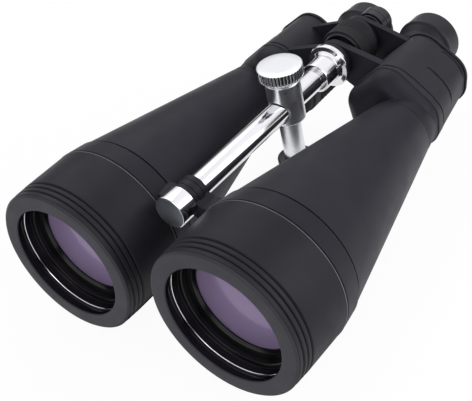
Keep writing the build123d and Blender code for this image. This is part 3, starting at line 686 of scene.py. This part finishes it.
KNOB_R = 15.6
FLUTES = 40
FLUTE_DEPTH = 1.25
FLUTES_Z0, FLUTES_Z1 = 23.6, 31.0
KNOB_OUTLINE = [
    (2.97, 20.6), (11.6, 20.6), (12.0, 20.65), (12.8, 21.1), (13.6, 21.9), (14.5, 22.9),
    (15.1, 23.4), (15.4, 23.55), (KNOB_R, 23.8),
    *[(KNOB_R, 24.2 + 0.5 * k) for k in range(13)],
    (KNOB_R, 30.6), (KNOB_R, 30.85), (15.53, 31.1), (15.35, 31.33), (15.1, 31.45), (14.8, 31.5),
    (9.0, 31.5), (4.0, 31.5), (0.0, 31.5), (0.0, 27.1), (2.97, 27.1)]


def flutes(r, z, angle):
    if r < 14.4 or z < FLUTES_Z0 or z > FLUTES_Z1:
        return 0.0
    ends = min(1.0, (z - FLUTES_Z0) / 0.5, (FLUTES_Z1 - z) / 0.4)
    return -FLUTE_DEPTH * (0.5 - 0.5 * math.cos(FLUTES * angle)) ** 1.5 * ends


def knob_material(r, z, angle):
    in_valley = math.cos(FLUTES * angle) < -0.35
    # flute valleys get the painted dark shade
    return 1 if (23.9 < z < 30.8 and r > 14.0 and in_valley) else 0


lathe("clamp_knob", KNOB_OUTLINE, [CHROME_Z, VALLEY_SHADE], body="lock_knob", replaced="lock_knob",
      slot="chrome_plate", segments=640, upright=True, ripple=flutes, smooth=40.0,
      pick=knob_material)

# ---- focus wheel --------------------------------------------------------------------
GRIP_R, GRIP_BORE = 17.6, 16.02
GRIP_Y0, GRIP_Y1 = 239.3, 258.5
KNURL_Y0, KNURL_Y1 = 240.2, 257.9
RIBS_END = 247.6     # straight ribs in front of this, diamonds behind
GRIP_RIBS = 64
DIAMONDS = 32
DIAMOND_PITCH = 1.7  # along y
WHEEL_OUTLINE = [
    (6.06, 235.6, 0.1), (8.6, 235.6, 0.3), (9.0, 236.2, 0.2), (9.0, 242.2, 0.3),
    (13.6, 242.2, 0.3), (14.3, 238.9, 0.4), (15.2, 238.6, 0.3), (16.0, 239.0, 0.2),
    (16.0, GRIP_Y1, 0.2), (6.06, GRIP_Y1, 0)]


def knurl(r, y, angle):
    if r < 17.0 or y < KNURL_Y0 or y > KNURL_Y1:
        return 0.0
    ends = min(1.0, (y - KNURL_Y0) / 0.4, (KNURL_Y1 - y) / 0.4)
    if y < RIBS_END:
        return -0.34 * (0.5 - 0.5 * math.cos(GRIP_RIBS * angle)) * ends
    twist = math.tau * y / DIAMOND_PITCH
    u = 0.5 + 0.5 * math.cos(DIAMONDS * angle + twist)
    v = 0.5 + 0.5 * math.cos(DIAMONDS * angle - twist)
    return -0.42 * max(u ** 2, v ** 2) * ends


def grip_material(r, y, angle):
    valley = -0.2 if y < RIBS_END else -0.3
    # knurl valleys get the painted crease shade
    return 1 if (240.6 < y < 257.6 and r > 17.3 and knurl(r, y, angle) < valley) else 0


def grip_outline():
    points = [(GRIP_BORE, GRIP_Y0), (17.0, GRIP_Y0), (17.35, 239.5), (17.55, 239.85),
              (GRIP_R, KNURL_Y0)]
    y = 240.4
    while y < 257.85:
        points.append((GRIP_R, y))
        y += 0.2
    return points + [(GRIP_R, KNURL_Y1), (17.55, 258.15), (17.35, 258.4), (17.0, GRIP_Y1),
                     (GRIP_BORE, GRIP_Y1)]


lathe("focus_knurl_sleeve", grip_outline(), [GRIP, CREASE_SHADE], body="focus_wheel",
      replaced="focus_grip", slot="grip_rubber", segments=448, ripple=knurl, smooth=50.0,
      pick=grip_material)
# the core's front rim gets the painted highlight
lathe("focus_wheel_core", soften(WHEEL_OUTLINE, 0.2), [BLACK, PAINTED_HIGHLIGHT], body="focus_wheel",
      replaced="focus_wheel", slot="black_anodised",
      pick=lambda r, y, angle: 1 if (14.1 < r < 15.5 and y < 239.2) else 0)

# ---- eyecups ------------------------------------------------------------------------
CUP_SEAT_Y = 306.05
CUP_BACK = [
    (20.2, 301.8, 1.0), (21.6, 303.2, 0.3), (21.9, 304.6, 0.5), (21.45, 306.0, 0.4),
    (21.1, 312.0, 3.0), (20.95, 318.4, 0.8), (20.2, 320.0, 0.9), (18.9, 319.6, 0.7),
    (18.5, 316.0, 0.6), (18.3, 310.0, 1.0), (16.4, 307.4, 0.8), (12.6, 307.0, 0.3),
    (12.6, CUP_SEAT_Y, 0)]
LEFT_CUP_FRONT = [(14.62, 291.3, 0), (15.6, 291.3, 0.3), (16.3, 292.6, 0.6), (17.4, 297.0, 2.0)]
RIGHT_CUP_FRONT = [(14.65, 298.25, 0), (17.6, 298.25, 0.3), (18.4, 299.4, 0.5)]


def eyecup(side, sign, front, body):
    outline = front + CUP_BACK + [(front[0][0], CUP_SEAT_Y, 0)]
    lathe(side + "_cup_rubber", soften(outline, 0.3, 5), [CUP], body=body,
          replaced=side + "_eyecup", slot="armour_rubber",
          centre=(EYEPIECE[0] * sign, EYEPIECE[1]))


eyecup("left", 1.0, LEFT_CUP_FRONT, body="left_eyepiece")
eyecup("right", -1.0, RIGHT_CUP_FRONT, body="diopter_ring")


# ---- floor --------------------------------------------------------------------------
def make_floor(half_size, gap):
    """White paper a small gap below the product."""
    mesh = bpy.data.meshes.new("studio_floor")
    bm = bmesh.new()
    for x, y in ((-1, -1), (1, -1), (1, 1), (-1, 1)):
        bm.verts.new((x * half_size, y * half_size, cad_box[0].z - gap))
    bm.faces.new(bm.verts)
    bm.to_mesh(mesh)
    bm.free()
    floor = bpy.data.objects.new("studio_floor", mesh)
    SC.collection.objects.link(floor)
    paper = Material("studio_paper")
    # glows white to the camera but lights the product less
    diffuse_ray = paper.node("ShaderNodeLightPath").outputs["Is Diffuse Ray"]
    glow = paper.node("ShaderNodeEmission", {
        "Color": (1, 1, 1), "Strength": paper.remap(diffuse_ray, to=(1.05, 0.33))})
    tone = paper.mix(paper.remap(paper.noise(scale=3.0)), (0.93, 0.93, 0.93), (0.96, 0.96, 0.96))
    paper.set(Base_Color=tone, Roughness=0.9, Specular_IOR_Level=0.1)
    paper.surface(paper.mix_shader(0.90, paper.bsdf, glow.outputs[0]))
    mesh.materials.append(paper.data)


make_floor(half_size=6.0, gap=0.0004)


# ---- world --------------------------------------------------------------------------
def make_world():
    """White to the camera, with separate skies for reflections and for diffuse light."""
    world = bpy.data.worlds.new("studio")
    SC.world = world
    world.use_nodes = True
    sky = Shader(world.node_tree, "Generated")
    split = sky.node("ShaderNodeSeparateXYZ", {0: sky.coords})
    height = sky.remap(split.outputs["Z"], source=(-1.0, 1.0))
    rays = sky.node("ShaderNodeLightPath").outputs

    def height_ramp(bottom, top, greys, blue):
        """Colour by height; greys are (position, level), their blue multiplied by `blue`."""
        ramp = sky.node("ShaderNodeValToRGB", {"Fac": height})
        stops = ramp.color_ramp.elements
        stops[0].color = (*bottom, 1)
        stops[1].color = (*top, 1)
        for position, grey in greys:
            stops.new(position).color = (grey, grey, grey * blue, 1)
        return ramp.outputs["Color"]

    reflected = world.node_tree.nodes["Background"]
    sky.feed(reflected.inputs["Strength"], 1.0)
    sky.feed(reflected.inputs["Color"], height_ramp(
        bottom=(0.9, 0.9, 0.9), top=(0.9, 0.9, 0.92), blue=1.02,
        greys=((0.49, 0.6), (0.515, 0.06), (0.58, 0.03), (0.63, 0.10), (0.68, 0.85),
               (0.80, 1.15), (0.90, 1.15))))
    diffuse = sky.node("ShaderNodeBackground", {"Strength": 1.0, "Color": height_ramp(
        bottom=(1, 1, 1), top=(0.14, 0.14, 0.145), blue=1.03,
        greys=((0.50, 0.85), (0.60, 0.55), (0.72, 0.20)))})
    white = sky.node("ShaderNodeBackground", {"Color": (1, 1, 1)})
    light = sky.mix_shader(rays["Is Diffuse Ray"], reflected.outputs[0], diffuse.outputs[0])
    seen = sky.mix_shader(rays["Is Camera Ray"], light, white.outputs[0])
    sky.feed(world.node_tree.nodes["World Output"].inputs["Surface"], seen)


make_world()


# ---- lights and camera --------------------------------------------------------------
def softbox(name, at, look, size, power):
    light = bpy.data.lights.new(name, "AREA")
    light.shape = "RECTANGLE"
    light.size, light.size_y = size
    light.energy = power
    ob = bpy.data.objects.new(name, light)
    ob.location = at
    ob.rotation_euler = (Vector(look) - Vector(at)).to_track_quat("-Z", "Y").to_euler()
    SC.collection.objects.link(ob)


softbox("key_top", at=(-0.55, 0.35, 1.15), look=(0.0, 0.0, 0.03), size=(0.9, 0.9), power=3.0)
softbox("front_low", at=(0.2, -1.3, 0.50), look=(0.0, -0.1, 0.0), size=(0.9, 0.5), power=3.5)
softbox("right_side", at=(1.20, 0.35, 0.55), look=(0.05, 0.0, 0.02), size=(1.1, 1.1), power=8.0)

CAMERA_AT = (0.3977908668, -0.4708930653, 0.4433783225)
CAMERA_AXES = (  # the camera's right, up and back
    (0.7874611045, 0.5888256534, -0.1821794689),
    (-0.2457528426, 0.5710044232, 0.7833003824),
    (0.5652526420, -0.5720474619, 0.5943493519))
cam = bpy.data.cameras.new("camera")
camera = bpy.data.objects.new("camera", cam)
SC.collection.objects.link(camera)
cam.sensor_width = 36.0
cam.lens = 81.465254
cam.clip_start = 0.01
cam.clip_end = 50.0
turn = Matrix(CAMERA_AXES).transposed().to_4x4()
camera.matrix_world = Matrix.Translation(CAMERA_AT) @ turn
SC.camera = camera
SC.view_settings.view_transform = "Standard"
SC.view_settings.look = "None"
